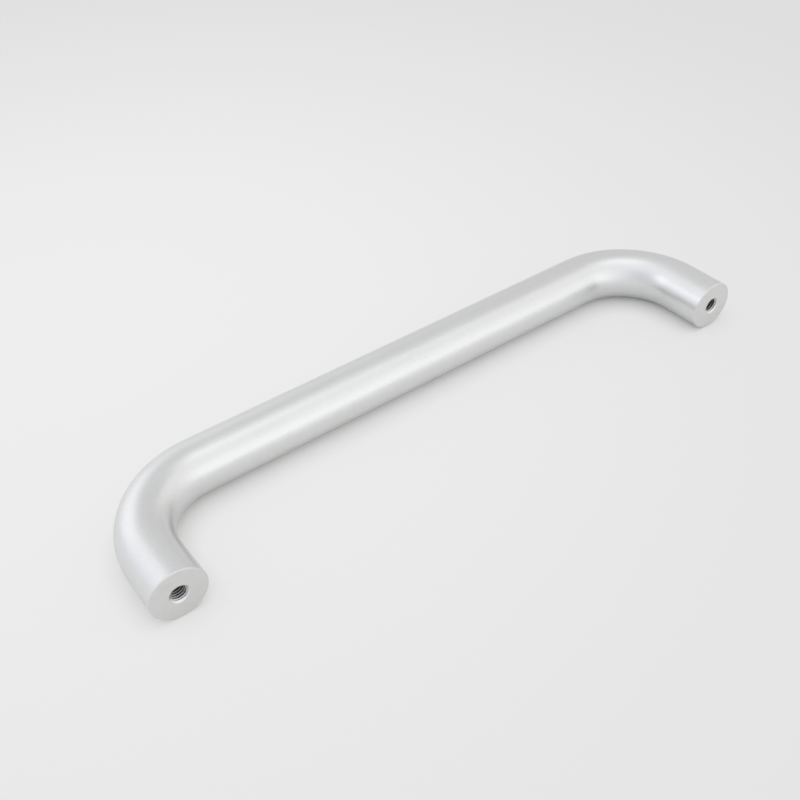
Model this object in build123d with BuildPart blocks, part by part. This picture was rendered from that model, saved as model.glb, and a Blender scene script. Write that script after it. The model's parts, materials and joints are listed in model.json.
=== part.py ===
from build123d import *
import os
from math import radians, tan

# Pull handle bent from one solid round bar, tapped in both end faces.
# It lies on its side: X runs along the grip, the door's face is the plane y = 0
# with the handle on its +Y side, and Z is square to the plane of the bend.
# The origin is midway between the two tapped holes, on the door's face.

# Driving dimensions, in millimetres and degrees
bar_diameter = 25.0
fixing_centres = 300.0  # from one tapped hole to the other
projection = 71.5  # from the door's face to the outside of the grip
bend_radius = 38.0  # on the bar's centre line
rim_chamfer = 0.4  # edge break round each end face

tap_drill_diameter = 6.8  # core hole of an M8 x 1.25 thread
tap_drill_depth = 26.0  # to the end of the full diameter
drill_point_angle = 118.0
mouth_diameter = 8.8  # countersink at the face, just over the thread's 8 mm
mouth_angle = 90.0

# Centre line of the bar: out from the door, along the grip and back
grip_axis_offset = projection - bar_diameter / 2
half_centres = fixing_centres / 2

# The door's face, seen from the door: its normal points out of the tapped holes
door_face = Plane.XZ

with BuildPart() as handle:
    # Bent bar: a round section swept along two legs, two bends and the grip
    with BuildLine() as bar_axis:
        FilletPolyline(
            (-half_centres, 0),
            (-half_centres, grip_axis_offset),
            (half_centres, grip_axis_offset),
            (half_centres, 0),
            radius=bend_radius,
        )
    with BuildSketch(door_face) as bar_section:
        with Locations((-half_centres, 0)):
            Circle(bar_diameter / 2)
    sweep()

    # Edge break on the rims of both end faces
    end_rims = handle.edges().filter_by(GeomType.CIRCLE).group_by(Axis.Y)[0]
    chamfer(end_rims, rim_chamfer)

    # Blind core hole in each end, countersunk at the mouth
    with Locations(door_face):
        with GridLocations(fixing_centres, 0, 2, 1):
            CounterSinkHole(
                radius=tap_drill_diameter / 2,
                counter_sink_radius=mouth_diameter / 2,
                depth=tap_drill_depth,
                counter_sink_angle=mouth_angle,
            )

    # Conical bottom that the drill's point leaves below the full diameter
    drill_point_depth = tap_drill_diameter / 2 / tan(radians(drill_point_angle / 2))
    with Locations(door_face.offset(-tap_drill_depth)):
        with GridLocations(fixing_centres, 0, 2, 1):
            Cone(
                bottom_radius=0,
                top_radius=tap_drill_diameter / 2,
                height=drill_point_depth,
                align=(Align.CENTER, Align.CENTER, Align.MAX),
                mode=Mode.SUBTRACT,
            )

handle.part.label = "handle"
os.makedirs("parts", exist_ok=True)
export_step(handle.part, "parts/handle.step")
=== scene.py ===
"""Looks of a pull handle bent from one round aluminium bar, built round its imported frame.

The frame is in metres: X runs along the grip, the door's face is y = 0 with the handle on its +Y
side, and Z is up, square to the plane of the bend. The handle lies on its side.
"""

import json
import logging
from dataclasses import dataclass
from enum import Enum
from math import cos, pi, radians, sin, tan
from typing import Any

import bmesh
import bpy
from mathutils import Euler, Matrix, Vector


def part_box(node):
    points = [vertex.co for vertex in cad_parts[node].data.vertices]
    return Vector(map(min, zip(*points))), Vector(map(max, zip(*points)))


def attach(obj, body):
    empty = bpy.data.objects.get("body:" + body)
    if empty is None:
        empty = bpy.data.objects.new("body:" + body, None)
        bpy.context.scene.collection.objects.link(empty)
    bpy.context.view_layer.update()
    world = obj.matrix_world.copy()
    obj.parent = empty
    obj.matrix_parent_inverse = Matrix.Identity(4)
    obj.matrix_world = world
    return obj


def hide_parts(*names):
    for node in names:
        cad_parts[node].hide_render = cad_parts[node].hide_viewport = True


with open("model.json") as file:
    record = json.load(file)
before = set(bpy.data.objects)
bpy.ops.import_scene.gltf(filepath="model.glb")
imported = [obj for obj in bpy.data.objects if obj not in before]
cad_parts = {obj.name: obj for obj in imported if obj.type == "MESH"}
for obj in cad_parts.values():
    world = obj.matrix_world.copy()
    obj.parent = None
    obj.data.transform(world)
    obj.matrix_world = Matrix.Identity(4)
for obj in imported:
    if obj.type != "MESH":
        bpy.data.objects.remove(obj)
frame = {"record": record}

logging.basicConfig(level=logging.INFO, format="%(name)s: %(message)s")
log = logging.getLogger("handle")

FINISH_MARK = "finish"  # the attribute that holds a face's finish
MM = 0.001
CM = 10 * MM
Colour = tuple[float, float, float]


class Finish(Enum):
    """Which finish a face of the handle has, as stored on the mesh."""

    SATIN = 0
    FACED = 1
    COUNTERSINK = 2
    THREAD = 3


class Wire:
    """A value on its way through a node tree, on which arithmetic adds Math nodes."""

    def __init__(self, graph: "Graph", socket: bpy.types.NodeSocket) -> None:
        """Keeps the tree and the socket that gives the value."""
        self.graph = graph
        self.socket = socket

    def __add__(self, other: Any) -> "Wire":
        """Sum."""
        return self.graph.maths("ADD", self, other)

    __radd__ = __add__

    def __sub__(self, other: Any) -> "Wire":
        """Difference."""
        return self.graph.maths("SUBTRACT", self, other)

    def __rsub__(self, other: Any) -> "Wire":
        """Difference from a number."""
        return self.graph.maths("SUBTRACT", other, self)

    def __mul__(self, other: Any) -> "Wire":
        """Product."""
        return self.graph.maths("MULTIPLY", self, other)

    __rmul__ = __mul__

    def __truediv__(self, other: Any) -> "Wire":
        """Quotient."""
        return self.graph.maths("DIVIDE", self, other)

    def __rtruediv__(self, other: Any) -> "Wire":
        """Quotient of a number."""
        return self.graph.maths("DIVIDE", other, self)

    def __neg__(self) -> "Wire":
        """Opposite value."""
        return self.graph.maths("MULTIPLY", self, -1.0)

    def __gt__(self, other: Any) -> "Wire":
        """1 where it is the greater, else 0."""
        return self.graph.maths("GREATER_THAN", self, other)

    def __lt__(self, other: Any) -> "Wire":
        """1 where it is the smaller, else 0."""
        return self.graph.maths("LESS_THAN", self, other)


class Graph:
    """A node tree under construction."""

    def __init__(self, tree: bpy.types.NodeTree) -> None:
        """Starts from an empty tree."""
        self.tree = tree
        tree.nodes.clear()

    def node(self, kind: str, settings: dict[str, Any] | None = None, **sockets: Any) -> bpy.types.Node:
        """Adds a node.

        Args:
            kind: the node's type.
            settings: its own properties, which are set first.
            sockets: values or wires for its inputs, named as find() takes them.

        Returns:
            The node.
        """
        made = self.tree.nodes.new(kind)
        for name, value in (settings or {}).items():
            setattr(made, name, value)
        for name, value in sockets.items():
            self.feed(self.find(made, name), value)
        return made

    def find(self, node: bpy.types.Node, name: str) -> bpy.types.NodeSocket:
        """Finds a node's input.

        Args:
            node: the node.
            name: i and the input's index, or its name with _ for a space, which finds the first
                input of that name that is enabled.

        Returns:
            The input.
        """
        if name[0] == "i" and name[1:].isdigit():
            return node.inputs[int(name[1:])]
        wanted = name.replace("_", " ").lower()
        return next(s for s in node.inputs if s.enabled and s.name.lower() == wanted)

    def feed(self, socket: bpy.types.NodeSocket, value: Any) -> None:
        """Gives an input its value.

        Args:
            socket: the input.
            value: a wire, which is linked to it, or a plain value, which is set on it.
        """
        if isinstance(value, Wire):
            self.tree.links.new(value.socket, socket)
        else:
            socket.default_value = value

    def out(self, node: bpy.types.Node, name: str = "") -> Wire:
        """Wraps the output of a node that has a name, or its first one."""
        return Wire(self, next(s for s in node.outputs if s.enabled and name in ("", s.name)))

    def wire(self, kind: str, settings: dict[str, Any] | None = None, **sockets: Any) -> Wire:
        """Adds a node as node() does and gives its first output."""
        return self.out(self.node(kind, settings, **sockets))

    def maths(self, operation: str, *values: Any) -> Wire:
        """Adds a Math node on up to three values or wires and gives its result."""
        sockets = {f"i{index}": value for index, value in enumerate(values)}
        return self.wire("ShaderNodeMath", {"operation": operation}, **sockets)

    def vector(self, x: Any, y: Any, z: Any = 0.0) -> Wire:
        """Puts three values or wires together as a vector."""
        return self.wire("ShaderNodeCombineXYZ", X=x, Y=y, Z=z)

    def parts_of(self, vector: Wire) -> tuple[Wire, Wire, Wire]:
        """Takes a vector apart into its X, Y and Z."""
        split = self.node("ShaderNodeSeparateXYZ", Vector=vector)
        return self.out(split, "X"), self.out(split, "Y"), self.out(split, "Z")

    def hypotenuse(self, one: Any, other: Any) -> Wire:
        """Length of a flat vector."""
        return self.maths("SQRT", one * one + other * other)

    def tone(self, share: Wire, at_none: Colour | Wire, at_all: Colour | Wire) -> Wire:
        """Mixes two colours, the first where the share is 0 and the second where it is 1."""
        none, full = (tone if isinstance(tone, Wire) else (*tone, 1.0) for tone in (at_none, at_all))
        return self.wire("ShaderNodeMix", {"data_type": "RGBA"}, Factor=share, A=none, B=full)

    def slope(self, value: Wire, start: float, end: float, at_start: float, at_end: float) -> Wire:
        """Goes smoothly from one number to another as a value grows.

        Args:
            value: the value.
            start: where the slope starts.
            end: where it ends.
            at_start: the number up to the start.
            at_end: the number from the end on.

        Returns:
            The number.
        """
        return self.wire(
            "ShaderNodeMapRange",
            {"interpolation_type": "SMOOTHSTEP"},
            Value=value,
            From_Min=start,
            From_Max=end,
            To_Min=at_start,
            To_Max=at_end,
        )


class ShapeTree(Graph):
    """A geometry tree whose sizes are named inputs."""

    def __init__(self, name: str, sizes: dict[str, float]) -> None:
        """Makes the tree with an input for each size.

        Args:
            name: the tree's name.
            sizes: each input's name and value, where a whole number is a count.
        """
        super().__init__(bpy.data.node_groups.new(name, "GeometryNodeTree"))
        self.sizes = sizes
        for label, value in sizes.items():
            kind = "NodeSocketInt" if isinstance(value, int) else "NodeSocketFloat"
            self.tree.interface.new_socket(label, in_out="INPUT", socket_type=kind)
        self.tree.interface.new_socket("Geometry", in_out="OUTPUT", socket_type="NodeSocketGeometry")
        self.entry = self.node("NodeGroupInput")

    def size(self, label: str) -> Wire:
        """Gives the wire of a named input."""
        return self.out(self.entry, label)

    def place(self, geometry: Wire, position: Wire) -> Wire:
        """Moves each point to a position."""
        return self.wire("GeometryNodeSetPosition", Geometry=geometry, Position=position)

    def polyline(self, corners: list[tuple[Any, Any]]) -> Wire:
        """Makes a curve of straight runs.

        Args:
            corners: X and Y of each corner, as values or wires.

        Returns:
            The curve, in the plane z = 0.
        """
        chooser = self.node("GeometryNodeIndexSwitch", {"data_type": "VECTOR"})
        for _ in corners[2:]:
            chooser.index_switch_items.new()
        self.feed(chooser.inputs[0], self.wire("GeometryNodeInputIndex"))
        for index, corner in enumerate(corners, start=1):
            self.feed(chooser.inputs[index], self.vector(*corner))
        line = self.wire("GeometryNodeMeshLine", Count=len(corners))
        return self.wire("GeometryNodeMeshToCurve", Mesh=self.place(line, self.out(chooser)))

    def rounded(self, curve: Wire, radius: Wire, steps: Wire) -> Wire:
        """Rounds a curve's corners to a radius, each in a number of steps."""
        return self.wire(
            "GeometryNodeFilletCurve", {"mode": "POLY"}, Curve=curve, Radius=radius, Count=steps
        )

    def join(self, *pieces: Wire) -> Wire:
        """Joins geometries.

        Args:
            pieces: the geometries.

        Returns:
            All of them as one.
        """
        joint = self.node("GeometryNodeJoinGeometry")
        for piece in pieces:
            self.tree.links.new(piece.socket, joint.inputs[0])
        return self.out(joint)

    def mark(self, mesh: Wire, finish: Finish, where: Any = True) -> Wire:
        """Marks faces with their finish.

        Args:
            mesh: the mesh.
            finish: the finish that they have.
            where: which faces have it, as a wire that is 1 there, or True for all.

        Returns:
            The marked mesh.
        """
        return self.wire(
            "GeometryNodeStoreNamedAttribute",
            {"data_type": "INT", "domain": "FACE"},
            Geometry=mesh,
            Name=FINISH_MARK,
            Value=finish.value,
            Selection=where,
        )

    def mesh(self, geometry: Wire) -> bpy.types.Mesh:
        """Ends the tree and works out its mesh.

        Args:
            geometry: what the tree gives.

        Returns:
            A plain mesh that depends on no modifier.
        """
        self.node("NodeGroupOutput", Geometry=geometry)
        host = bpy.data.objects.new(self.tree.name, bpy.data.meshes.new(self.tree.name))
        bpy.context.scene.collection.objects.link(host)
        modifier = host.modifiers.new(self.tree.name, "NODES")
        modifier.node_group = self.tree
        for item in self.tree.interface.items_tree:
            if item.in_out == "INPUT":
                modifier[item.identifier] = self.sizes[item.name]
        graph = bpy.context.evaluated_depsgraph_get()
        made = bpy.data.meshes.new_from_object(
            host.evaluated_get(graph), preserve_all_data_layers=True, depsgraph=graph
        )
        host.modifiers.remove(modifier)
        bpy.data.objects.remove(host)
        return made


@dataclass(frozen=True)
class BentBar:
    """The bar's skin: one leg, a bend, the grip, a bend and the other leg, as far as the collars.

    A collar is the short stretch of skin at each end that is made with the end's face.
    """

    radius: float
    half_centres: float
    grip_axis: float
    bend_radius: float = 38.0 * MM
    collar: float = 1.0 * MM
    steps_round: int = 128
    steps_bend: int = 32

    def sizes(self) -> dict[str, float]:
        """Gives the inputs that the tree needs.

        Returns:
            Each input's name and value.
        """
        return {
            "Bar Radius": self.radius,
            "Half Centres": self.half_centres,
            "Grip Axis": self.grip_axis,
            "Bend Radius": self.bend_radius,
            "Collar": self.collar,
            "Steps Round": self.steps_round,
            "Steps Bend": self.steps_bend,
        }

    def build(self, tree: ShapeTree) -> Wire:
        """Sweeps the round section along the filleted centre line.

        Args:
            tree: the tree to build in, with this bar's sizes.

        Returns:
            The skin, open at both ends.
        """
        half = tree.size("Half Centres")
        grip = tree.size("Grip Axis")
        collar = tree.size("Collar")
        route = tree.polyline([(-half, collar), (-half, grip), (half, grip), (half, collar)])
        route = tree.rounded(route, tree.size("Bend Radius"), tree.size("Steps Bend"))
        route = tree.wire("GeometryNodeSetCurveNormal", {"mode": "Z_UP"}, Curve=route)
        section = tree.wire(
            "GeometryNodeCurvePrimitiveCircle",
            Resolution=tree.size("Steps Round"),
            Radius=tree.size("Bar Radius"),
        )
        skin = tree.wire("GeometryNodeCurveToMesh", Curve=route, Profile_Curve=section)
        return tree.mark(skin, Finish.SATIN)


@dataclass(frozen=True)
class TappedEnd:
    """An end of the bar: faced, its rim broken, countersunk, drilled and tapped.

    It is built with its face at z = 0 and its depth along +Z, so that the thread is right-handed,
    and it is turned and moved to each end but never mirrored. The thread fades out over its last
    lead_out pitches, and slack is how far inside the countersink a face counts as thread.
    """

    mouth_radius: float
    core_radius: float
    core_depth: float
    mouth_angle: float = radians(90)
    drill_angle: float = radians(118)
    rim_chamfer: float = 0.4 * MM
    corner_radius: float = 0.12 * MM
    thread_radius: float = 4.0 * MM
    pitch: float = 1.25 * MM
    thread_depth: float = 20.0 * MM
    lead_out: float = 1.5
    slack: float = 0.02 * MM
    rows_per_pitch: int = 16
    corner_steps: int = 3

    def sizes(self) -> dict[str, float]:
        """Gives the inputs that the tree needs beside the bar's.

        Returns:
            Each input's name and value.
        """
        return {
            "Mouth Radius": self.mouth_radius,
            "Mouth Slope": tan(self.mouth_angle / 2),
            "Core Radius": self.core_radius,
            "Core Depth": self.core_depth,
            "Drill Point Depth": self.core_radius / tan(self.drill_angle / 2),
            "Rim Chamfer": self.rim_chamfer,
            "Corner Radius": self.corner_radius,
            "Corner Steps": self.corner_steps,
            "Thread Radius": self.thread_radius,
            "Pitch": self.pitch,
            "Thread Depth": self.thread_depth,
            "Rows Per Pitch": self.rows_per_pitch,
        }

    def build(self, tree: ShapeTree) -> Wire:
        """Makes one end and marks each face with its finish.

        Args:
            tree: the tree to build in, with the bar's sizes and this end's.

        Returns:
            The end, open only where its collar meets the bar.
        """
        end = tree.join(self.face(tree), self.thread(tree), self.core(tree))
        x, y, depth = tree.parts_of(tree.wire("GeometryNodeInputPosition"))
        radius = tree.hypotenuse(x, y)
        mouth = tree.size("Mouth Radius")
        countersink = mouth - depth * tree.size("Mouth Slope")
        skin = (depth > tree.size("Rim Chamfer") + tree.size("Corner Radius")) * (radius > mouth)
        cut = (radius > countersink + self.slack) * (radius < mouth)
        end = tree.mark(end, Finish.FACED)
        end = tree.mark(end, Finish.SATIN, skin)
        end = tree.mark(end, Finish.COUNTERSINK, radius < mouth)
        return tree.mark(end, Finish.THREAD, cut)

    def face(self, tree: ShapeTree) -> Wire:
        """Turns the flat face, the broken rim and the collar round the hole's axis.

        Args:
            tree: the tree to build in.

        Returns:
            The face with its rim and collar, open at the hole and where it meets the bar.
        """
        rim = tree.size("Bar Radius")
        mouth = tree.size("Mouth Radius")
        chamfer = tree.size("Rim Chamfer")
        outline = tree.polyline([
            (0.0, 0.0),
            (rim - chamfer - mouth, 0.0),
            (rim - mouth, -chamfer),
            (rim - mouth, -tree.size("Collar")),
        ])
        outline = tree.rounded(outline, tree.size("Corner Radius"), tree.size("Corner Steps"))
        turn = tree.wire(
            "GeometryNodeCurvePrimitiveCircle", Resolution=tree.size("Steps Round"), Radius=mouth
        )
        return tree.wire("GeometryNodeCurveToMesh", Curve=turn, Profile_Curve=outline)

    def thread(self, tree: ShapeTree) -> Wire:
        """Winds a grid into the countersink and the thread.

        One side of the grid runs round the hole and the other down it. Each row climbs by one
        pitch in a turn, so that its end meets the start of the row one pitch further down.

        Args:
            tree: the tree to build in.

        Returns:
            The wall of the hole from its mouth to the end of the thread.
        """
        pitch = tree.size("Pitch")
        per_pitch = tree.size("Rows Per Pitch")
        full_depth = tree.size("Thread Depth")
        rows = tree.maths("CEIL", full_depth / pitch + 1.0) * per_pitch
        grid = tree.wire(
            "GeometryNodeMeshGrid",
            Size_X=1.0,
            Size_Y=rows,
            Vertices_X=tree.size("Steps Round") + 1.0,
            Vertices_Y=rows + 1.0,
        )
        # The grid is centred, so each side runs from minus a half to a half of its length
        across, down, _ = tree.parts_of(tree.wire("GeometryNodeInputPosition"))
        turn = across + 0.5
        row = (down + rows / 2.0) / per_pitch
        fall = (row + turn - 1.0) * pitch
        depth = tree.maths("MAXIMUM", tree.maths("MINIMUM", fall, full_depth), 0.0)

        # Form of the metric thread over one pitch: crest 1/4, flank 5/16, root 1/8, flank 5/16
        crest, flank = 1 / 4, 5 / 16
        phase = tree.maths("FRACT", row)
        height = tree.maths("MINIMUM", phase - crest, 1.0 - phase) / flank
        height = tree.maths("MAXIMUM", tree.maths("MINIMUM", height, 1.0), 0.0)
        fade = tree.maths("MINIMUM", (full_depth - depth) / (pitch * self.lead_out), 1.0)
        core = tree.size("Core Radius")
        cut = core + (tree.size("Thread Radius") - core) * height * fade
        countersink = tree.size("Mouth Radius") - depth * tree.size("Mouth Slope")
        radius = tree.maths("MAXIMUM", cut, countersink)
        angle = turn * (2 * pi)
        ring = tree.vector(tree.maths("COSINE", angle) * radius, tree.maths("SINE", angle) * radius, depth)
        return tree.place(grid, ring)

    def core(self, tree: ShapeTree) -> Wire:
        """Adds the plain core hole below the thread and the drill's cone at its bottom.

        Args:
            tree: the tree to build in.

        Returns:
            The wall of the hole from the end of the thread to the drill's point.
        """
        core = tree.size("Core Radius")
        thread_end = tree.size("Thread Depth")
        core_end = tree.size("Core Depth")
        walls = []
        for start, length, end_radius in (
            (thread_end, core_end - thread_end, core),
            (core_end, tree.size("Drill Point Depth"), 0.0),
        ):
            wall = tree.wire(
                "GeometryNodeMeshCone",
                {"fill_type": "NONE"},
                Vertices=tree.size("Steps Round"),
                Radius_Bottom=core,
                Radius_Top=end_radius,
                Depth=length,
            )
            walls.append(
                tree.wire("GeometryNodeTransform", Geometry=wall, Translation=tree.vector(0.0, 0.0, start))
            )
        return tree.join(*walls)


class Shader(Graph):
    """The nodes of one material."""

    def __init__(self, name: str) -> None:
        """Makes the material and its tree."""
        self.material = bpy.data.materials.new(name)
        self.material.use_nodes = True
        super().__init__(self.material.node_tree)

    def place_on_object(self) -> Wire:
        """Gives the place on the object, in metres."""
        return self.out(self.node("ShaderNodeTexCoord"), "Object")

    def noise(self, place: Wire, size: float, detail: float = 2.0) -> Wire:
        """Gives noise about 0.5, whose features are about that size across."""
        return self.wire("ShaderNodeTexNoise", Vector=place, Scale=1 / size, Detail=detail)

    def about(self, middle: float, noise: Wire, swing: float) -> Wire:
        """Gives a value that noise moves about its middle by at most half of the swing."""
        return noise * swing + (middle - swing / 2)

    def relief(self, height: Wire, depth: float) -> Wire:
        """Turns a height of 0 to 1 into a normal, for a relief of that depth in metres."""
        return self.wire("ShaderNodeBump", Height=height, Distance=depth, Strength=1.0)

    def metal(self, colour: Wire, roughness: Wire, normal: Wire) -> bpy.types.Material:
        """Ends the tree in bare metal.

        Args:
            colour: the metal's colour.
            roughness: its roughness.
            normal: its normal, which carries its relief.

        Returns:
            The material.
        """
        surface = self.wire(
            "ShaderNodeBsdfPrincipled",
            Base_Color=colour,
            Metallic=1.0,
            Roughness=roughness,
            Normal=normal,
        )
        self.node("ShaderNodeOutputMaterial", Surface=surface)
        return self.material


@dataclass(frozen=True)
class SatinAnodised:
    """Etched and anodised skin: an even silver with fine grain and faint lines along the bar.

    A line is line_stretch times as long as it is wide. The four shares say how much each pattern
    has in the tone and the roughness, and the two reliefs how much it has in the relief.
    """

    light: Colour = (0.88, 0.885, 0.885)
    dark: Colour = (0.73, 0.735, 0.735)
    roughness: float = 0.32
    roughness_swing: float = 0.12
    relief_depth: float = 0.05 * MM
    cloud_size: float = 25.0 * MM
    cloud_share: float = 0.25
    speckle_size: float = 2.0 * MM
    speckle_share: float = 0.35
    line_width: float = 0.9 * MM
    line_stretch: float = 60.0
    line_detail: float = 4.0
    line_share: float = 0.25
    line_relief: float = 0.6
    grain_size: float = 0.3 * MM
    grain_share: float = 0.15
    grain_relief: float = 0.4

    def unbent(self, shader: Shader, bar: BentBar) -> tuple[Wire, Wire, Wire]:
        """Straightens the bar, so that its grain follows the bends.

        Args:
            shader: the tree to build in.
            bar: the bar whose centre line is followed.

        Returns:
            How far out from the centre line a point is, how far up, and how far along the bar
            from the middle of the grip.
        """
        x, y, z = shader.parts_of(shader.place_on_object())
        bend_x = bar.half_centres - bar.bend_radius
        bend_y = bar.grip_axis - bar.bend_radius
        sideways = shader.maths("ABSOLUTE", x)
        past_x = shader.maths("MAXIMUM", sideways - bend_x, 0.0)
        past_y = shader.maths("MAXIMUM", y - bend_y, 0.0)
        outward = shader.hypotenuse(past_x, past_y) - bar.bend_radius
        grip = shader.maths("MINIMUM", sideways, bend_x)
        bend = shader.maths("ARCTAN2", past_x, past_y) * bar.bend_radius
        leg = shader.maths("MAXIMUM", bend_y - y, 0.0)
        return outward, z, shader.maths("SIGN", x) * (grip + bend + leg)

    def material(self, bar: BentBar) -> bpy.types.Material:
        """Builds the material for a bar.

        Args:
            bar: the bar that its lines run along.

        Returns:
            The material.
        """
        shader = Shader("satin_anodised")
        place = shader.place_on_object()
        outward, up, along = self.unbent(shader, bar)
        drawn_out = shader.vector(outward, up, along * (1 / self.line_stretch))
        clouds = shader.noise(place, self.cloud_size)
        speckle = shader.noise(place, self.speckle_size)
        lines = shader.noise(drawn_out, self.line_width, self.line_detail)
        grain = shader.noise(place, self.grain_size)
        mottle = clouds * self.cloud_share + speckle * self.speckle_share
        mottle = mottle + lines * self.line_share + grain * self.grain_share
        relief = lines * self.line_relief + grain * self.grain_relief
        return shader.metal(
            shader.tone(mottle, self.dark, self.light),
            shader.about(self.roughness, mottle, self.roughness_swing),
            shader.relief(relief, self.relief_depth),
        )


@dataclass(frozen=True)
class FacedEnd:
    """Sawn and faced end: matte, with the faint rings that a facing tool leaves."""

    light: Colour = (0.84, 0.84, 0.835)
    dark: Colour = (0.71, 0.71, 0.705)
    roughness: float = 0.55
    roughness_swing: float = 0.12
    relief_depth: float = 0.02 * MM
    ring_width: float = 0.3 * MM
    ring_share: float = 0.5
    cloud_size: float = 3.0 * MM
    cloud_share: float = 0.5

    def material(self, bar: BentBar) -> bpy.types.Material:
        """Builds the material for both ends of a bar.

        Args:
            bar: the bar whose legs its rings are centred on.

        Returns:
            The material.
        """
        shader = Shader("faced_end")
        place = shader.place_on_object()
        x, _, z = shader.parts_of(place)
        radius = shader.hypotenuse(shader.maths("ABSOLUTE", x) - bar.half_centres, z)
        rings = shader.noise(shader.vector(radius, 0.0), self.ring_width)
        clouds = shader.noise(place, self.cloud_size)
        mottle = clouds * self.cloud_share + rings * self.ring_share
        return shader.metal(
            shader.tone(mottle, self.dark, self.light),
            shader.about(self.roughness, mottle, self.roughness_swing),
            shader.relief(rings, self.relief_depth),
        )


@dataclass(frozen=True)
class BrightCountersink:
    """Countersink, cut after the bar was anodised: bright metal with fine rings."""

    light: Colour = (0.86, 0.86, 0.86)
    dark: Colour = (0.76, 0.76, 0.76)
    roughness: float = 0.35
    roughness_swing: float = 0.06
    relief_depth: float = 0.006 * MM
    ring_width: float = 0.08 * MM

    def material(self) -> bpy.types.Material:
        """Builds the material.

        Returns:
            The material for both countersinks.
        """
        shader = Shader("bright_countersink")
        _, depth, _ = shader.parts_of(shader.place_on_object())
        rings = shader.noise(shader.vector(depth, 0.0), self.ring_width)
        return shader.metal(
            shader.tone(rings, self.dark, self.light),
            shader.about(self.roughness, rings, self.roughness_swing),
            shader.relief(rings, self.relief_depth),
        )


@dataclass(frozen=True)
class CutThread:
    """Tapped hole: metal with tool marks, its tones darker as painted shade in the hole, and darker still
    with depth as painted shade deep down.
    """

    # the tool marks' tones, set darker than the countersink's as painted shade in the hole
    light: Colour = (0.82, 0.82, 0.82)
    dark: Colour = (0.50, 0.50, 0.505)
    # painted shade: the near black that the wall darkens to, fully at this depth down the hole
    oil: Colour = (0.05, 0.05, 0.05)
    oil_depth: float = 8.0 * MM
    roughness: float = 0.28
    roughness_swing: float = 0.12
    relief_depth: float = 0.04 * MM
    mark_size: float = 0.6 * MM
    mark_detail: float = 3.0

    def material(self) -> bpy.types.Material:
        """Builds the material.

        Returns:
            The material for both tapped holes.
        """
        shader = Shader("cut_thread")
        place = shader.place_on_object()
        _, depth, _ = shader.parts_of(place)
        marks = shader.noise(place, self.mark_size, self.mark_detail)
        # painted shade, growing with depth down the hole
        deep_shade_share = shader.maths("MINIMUM", depth / self.oil_depth, 1.0)
        return shader.metal(
            shader.tone(deep_shade_share, shader.tone(marks, self.dark, self.light), self.oil),
            shader.about(self.roughness, marks, self.roughness_swing),
            shader.relief(marks, self.relief_depth),
        )


@dataclass(frozen=True)
class PullHandle:
    """The whole handle, as the one piece that it is."""

    bar: BentBar
    end: TappedEnd
    name: str = "handle_bar"
    sharp_angle: float = radians(30)
    weld: float = 0.001 * MM

    def build(self) -> bpy.types.Object:
        """Makes the handle's mesh and dresses it.

        Returns:
            The piece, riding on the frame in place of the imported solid.
        """
        tree = ShapeTree(self.name, self.bar.sizes() | self.end.sizes())
        half = tree.size("Half Centres")
        ends = tree.wire(
            "GeometryNodeInstanceOnPoints",
            Points=tree.wire(
                "GeometryNodeMeshLine",
                Count=2,
                Start_Location=tree.vector(-half, 0.0, 0.0),
                Offset=tree.vector(half * 2.0, 0.0, 0.0),
            ),
            Instance=self.end.build(tree),
            Rotation=Euler((-pi / 2, 0.0, 0.0)),
        )
        whole = tree.wire("GeometryNodeRealizeInstances", Geometry=tree.join(self.bar.build(tree), ends))
        whole = tree.wire("GeometryNodeMergeByDistance", Geometry=whole, Distance=self.weld)
        mesh = tree.mesh(self.dress(tree, whole))
        mesh.name = self.name
        self.close(mesh)
        piece = bpy.data.objects.new(self.name, mesh)
        bpy.context.scene.collection.objects.link(piece)
        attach(piece, "root")
        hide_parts("handle")
        return piece

    def dress(self, tree: ShapeTree, mesh: Wire) -> Wire:
        """Gives each marked face its material.

        Args:
            tree: the tree to build in.
            mesh: the mesh whose faces hold their finish.

        Returns:
            The dressed mesh.
        """
        finish = tree.wire("GeometryNodeInputNamedAttribute", {"data_type": "INT"}, Name=FINISH_MARK)
        materials = {
            Finish.SATIN: SatinAnodised().material(self.bar),
            Finish.FACED: FacedEnd().material(self.bar),
            Finish.COUNTERSINK: BrightCountersink().material(),
            Finish.THREAD: CutThread().material(),
        }
        tolerance = 0.1  # of a whole number
        for kind, material in materials.items():
            is_kind = tree.maths("COMPARE", finish, float(kind.value), tolerance)
            mesh = tree.wire(
                "GeometryNodeSetMaterial", Geometry=mesh, Selection=is_kind, Material=material
            )
        return mesh

    def close(self, mesh: bpy.types.Mesh) -> None:
        """Turns every face outwards, checks that the mesh is closed and sets its shading.

        Args:
            mesh: the handle's mesh, which is changed.

        Raises:
            ValueError: if it has an open edge or is inside out.
        """
        work = bmesh.new()
        work.from_mesh(mesh)
        bmesh.ops.dissolve_degenerate(work, dist=self.weld, edges=work.edges)
        bmesh.ops.recalc_face_normals(work, faces=work.faces)
        gaps = sum(not edge.is_manifold for edge in work.edges)
        volume = work.calc_volume(signed=True)
        work.to_mesh(mesh)
        work.free()
        if gaps or volume < 0:
            raise ValueError(f"the handle isn't a closed solid: {gaps} open edges, volume {volume}")
        mesh.polygons.foreach_set("use_smooth", [True] * len(mesh.polygons))
        mesh.set_sharp_from_angle(angle=self.sharp_angle)
        log.info("%s: closed, %.1f cm3", self.name, volume / CM**3)


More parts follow.
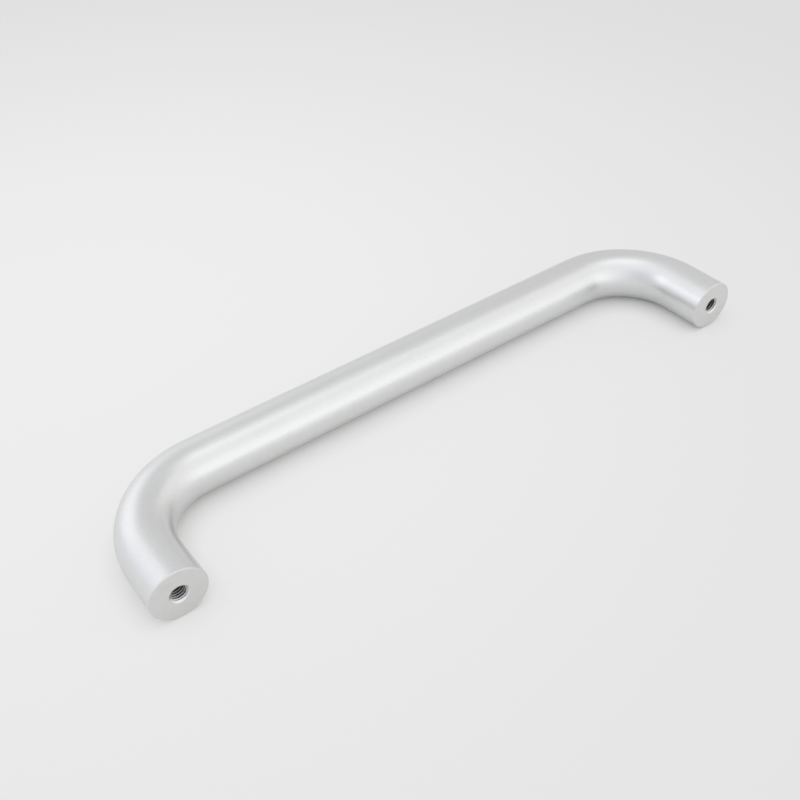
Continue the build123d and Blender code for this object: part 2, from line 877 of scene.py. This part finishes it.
@dataclass(frozen=True)
class SoftPatch:
    """A round patch of the tent that is lighter or darker than the rest.

    It is even in its middle and fades out over the width of its edge. Its angles are in degrees,
    as seen from the handle.
    """

    label: str
    azimuth: float
    elevation: float
    radius: float
    edge: float
    gain: float

    def towards(self) -> Vector:
        """Gives the direction of its middle."""
        around, above = radians(self.azimuth), radians(self.elevation)
        return Vector((cos(above) * cos(around), cos(above) * sin(around), sin(above)))

    def light(self, graph: Graph, direction: Wire) -> Wire:
        """Gives how much light it adds or takes away in a direction.

        Args:
            graph: the world's tree.
            direction: the direction that is looked in.

        Returns:
            The light, which is nothing outside the patch.
        """
        cosine = graph.out(
            graph.node(
                "ShaderNodeVectorMath", {"operation": "DOT_PRODUCT"}, i0=direction, i1=self.towards()
            ),
            "Value",
        )
        inside = radians(self.radius - self.edge / 2)
        outside = radians(self.radius + self.edge / 2)
        return graph.slope(graph.maths("ARCCOSINE", cosine), inside, outside, self.gain, 0.0)


@dataclass(frozen=True)
class Tent:
    """A pale tent all round the handle, which lights it and is what it reflects.

    It gets lighter with height and goes from faintly cool on the left to faintly warm on the
    right. Its patches are a window, three lamps and the darker stretches between them.
    """

    low: float = 0.87
    rise: float = 0.12
    cool_left: Colour = (1.0, 1.0, 1.05)
    warm_right: Colour = (1.0, 1.0, 0.98)
    patches: tuple[SoftPatch, ...] = (
        SoftPatch("front window", azimuth=-73, elevation=3, radius=28, edge=57, gain=0.36),
        SoftPatch("back lamp", azimuth=107, elevation=23, radius=19, edge=8, gain=0.22),
        SoftPatch("side lamp", azimuth=160, elevation=30, radius=14, edge=6, gain=0.46),
        SoftPatch("overhead lamp", azimuth=-4, elevation=80, radius=16, edge=6, gain=0.29),
        SoftPatch("dark side wall", azimuth=-161, elevation=25, radius=25, edge=26, gain=-0.19),
        SoftPatch("gap in the roof", azimuth=46, elevation=56, radius=28, edge=21, gain=-0.24),
        SoftPatch("roof beam", azimuth=11, elevation=52, radius=12, edge=12, gain=-0.06),
        SoftPatch("open side", azimuth=38, elevation=-10, radius=38, edge=29, gain=-0.22),
    )

    def light(self) -> bpy.types.World:
        """Lights the scene.

        Returns:
            The world that the tent is.
        """
        world = bpy.data.worlds.new("tent")
        world.use_nodes = True
        bpy.context.scene.world = world
        graph = Graph(world.node_tree)
        direction = graph.out(graph.node("ShaderNodeTexCoord"), "Generated")
        rightwards, _, height = graph.parts_of(direction)
        level = height * self.rise + self.low
        for patch in self.patches:
            level = level + patch.light(graph, direction)
        across = rightwards * 0.5 + 0.5  # 0 at the left and 1 at the right
        tint = graph.tone(across, self.cool_left, self.warm_right)
        background = graph.wire("ShaderNodeBackground", Color=tint, Strength=level)
        graph.node("ShaderNodeOutputWorld", Surface=background)
        return world


@dataclass(frozen=True)
class Floor:
    """The pale, half-gloss floor that the handle lies on.

    The camera mostly sees its pale glow, with a wide painted pool of light on it that is centred
    behind the handle. Close to the handle it sees the lit paint, which the handle shades. Its sizes are in
    metres, and it fades into the tent between fade_start and fade_end from the handle.
    """

    height: float
    size: float = 6.0
    fade_start: float = 0.75
    fade_end: float = 2.9
    paint: Colour = (0.84, 0.84, 0.82)
    roughness: float = 0.35
    # painted pool of light on the glow: pale at its middle, dim from its edge out
    pale: Colour = (0.875, 0.875, 0.88)
    dim: Colour = (0.73, 0.73, 0.735)
    pool_middle: tuple[float, float] = (-100 * MM, 200 * MM)
    pool_radius: float = 650 * MM
    glow: float = 0.8
    mirrored_glow: float = 0.1
    shadow_reach: float = 12.0 * MM
    shadow_samples: int = 8

    def glow_share(self, shader: Shader) -> Wire:
        """Works out how far the glow stands in for the lit paint.

        Args:
            shader: the tree to build in.

        Returns:
            The share, by kind of ray, and less where the handle is close.
        """
        rays = shader.node("ShaderNodeLightPath")
        mirrored = shader.maths(
            "MAXIMUM", shader.out(rays, "Is Glossy Ray"), shader.out(rays, "Is Transmission Ray")
        )
        seen = shader.out(rays, "Is Camera Ray") * self.glow + mirrored * self.mirrored_glow
        openness = shader.node(
            "ShaderNodeAmbientOcclusion", {"samples": self.shadow_samples}, Distance=self.shadow_reach
        )
        return seen * shader.out(openness, "AO")

    def material(self) -> bpy.types.Material:
        """Builds the floor's material.

        Returns:
            The material, which fades into the tent far off and is clear from below.
        """
        shader = Shader("pale_floor")
        paint = shader.wire(
            "ShaderNodeBsdfPrincipled", Base_Color=(*self.paint, 1.0), Roughness=self.roughness
        )
        x, y, _ = shader.parts_of(shader.place_on_object())
        pool_x, pool_y = self.pool_middle
        from_pool = shader.hypotenuse(x - pool_x, y - pool_y)
        # painted pool of light: 1 at its middle, 0 from its radius out
        pool = shader.slope(from_pool, 0.0, self.pool_radius, 1.0, 0.0)
        tone = shader.tone(pool, self.dim, self.pale)
        glow = shader.wire("ShaderNodeEmission", Color=tone, Strength=1.0)
        lit = shader.wire("ShaderNodeMixShader", i0=self.glow_share(shader), i1=paint, i2=glow)
        clear = shader.wire("ShaderNodeBsdfTransparent")
        below = shader.out(shader.node("ShaderNodeNewGeometry"), "Backfacing")
        far = shader.slope(shader.hypotenuse(x, y), self.fade_start, self.fade_end, 0.0, 1.0)
        unseen = shader.maths("MAXIMUM", below, far)
        surface = shader.wire("ShaderNodeMixShader", i0=unseen, i1=lit, i2=clear)
        shader.node("ShaderNodeOutputMaterial", Surface=surface)
        return shader.material

    def lay(self) -> bpy.types.Object:
        """Lays the floor.

        Returns:
            The floor, which isn't part of the handle.
        """
        mesh = bpy.data.meshes.new("floor")
        half = self.size / 2
        corners = [(x * half, y * half, self.height) for x, y in ((-1, -1), (1, -1), (1, 1), (-1, 1))]
        mesh.from_pydata(corners, [], [(0, 1, 2, 3)])
        mesh.materials.append(self.material())
        floor = bpy.data.objects.new("floor", mesh)
        bpy.context.scene.collection.objects.link(floor)
        return floor


@dataclass(frozen=True)
class Viewpoint:
    """The camera at the photograph's angle, aimed at a spot on the floor.

    Its angles are in degrees, and its lens and sensor in millimetres.
    """

    floor_height: float
    look_at: tuple[float, float] = (-8.65 * MM, 51.55 * MM)
    azimuth: float = -34.8
    elevation: float = 40.25
    roll: float = -2.53
    distance: float = 491.3 * MM
    lens: float = 46.23
    sensor: float = 36.0
    nearest: float = 0.01
    farthest: float = 100.0

    def aim(self) -> bpy.types.Object:
        """Sets up the camera.

        Returns:
            The camera, as the scene's own.
        """
        data = bpy.data.cameras.new("camera")
        data.lens = self.lens
        data.sensor_width = self.sensor
        data.clip_start = self.nearest
        data.clip_end = self.farthest
        around, above = radians(self.azimuth), radians(self.elevation)
        back = Vector((sin(around) * cos(above), -cos(around) * cos(above), sin(above)))
        target = Vector((*self.look_at, self.floor_height))
        turn = (-back).to_track_quat("-Z", "Y").to_matrix().to_4x4()
        roll = Matrix.Rotation(radians(self.roll), 4, "Z")
        camera = bpy.data.objects.new("camera", data)
        camera.matrix_world = Matrix.Translation(target + back * self.distance) @ turn @ roll
        bpy.context.scene.collection.objects.link(camera)
        bpy.context.scene.camera = camera
        return camera


def read_handle(record: dict[str, Any]) -> PullHandle:
    """Takes the handle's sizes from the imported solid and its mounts.

    Args:
        record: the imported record.

    Returns:
        The handle, with the sizes that the frame doesn't give at their defaults.
    """
    low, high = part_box("handle")
    mounts = {mount["name"]: mount for mount in record["mounts"]}
    core = mounts["right_thread"]
    core_radius = core["dims"]["r_mm"] * MM
    mouth_depth = core["pos_m"][1]
    bar = BentBar(
        radius=(high.z - low.z) / 2,
        half_centres=core["pos_m"][0],
        grip_axis=high.y - (high.z - low.z) / 2,
    )
    end = TappedEnd(
        mouth_radius=core_radius + mouth_depth * tan(TappedEnd.mouth_angle / 2),
        core_radius=core_radius,
        core_depth=mouth_depth + core["dims"]["length_mm"] * MM,
    )
    return PullHandle(bar, end)


def main() -> None:
    """Builds the handle and what it is seen in, in order, and reports each."""
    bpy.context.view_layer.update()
    handle = read_handle(frame["record"])
    floor_height = -handle.bar.radius

    piece = handle.build()
    log.info("%s: %d faces, %d finishes", piece.name, len(piece.data.polygons), len(piece.data.materials))
    tent = Tent()
    world = tent.light()
    log.info("%s: %s", world.name, ", ".join(patch.label for patch in tent.patches))
    floor = Floor(floor_height).lay()
    log.info("%s: at z = %.1f mm", floor.name, floor_height / MM)
    camera = Viewpoint(floor_height).aim()
    log.info("%s: %.0f mm up", camera.name, camera.matrix_world.translation.z / MM)

    bpy.context.scene.view_settings.view_transform = "Standard"


if __name__ == "__main__":
    main()
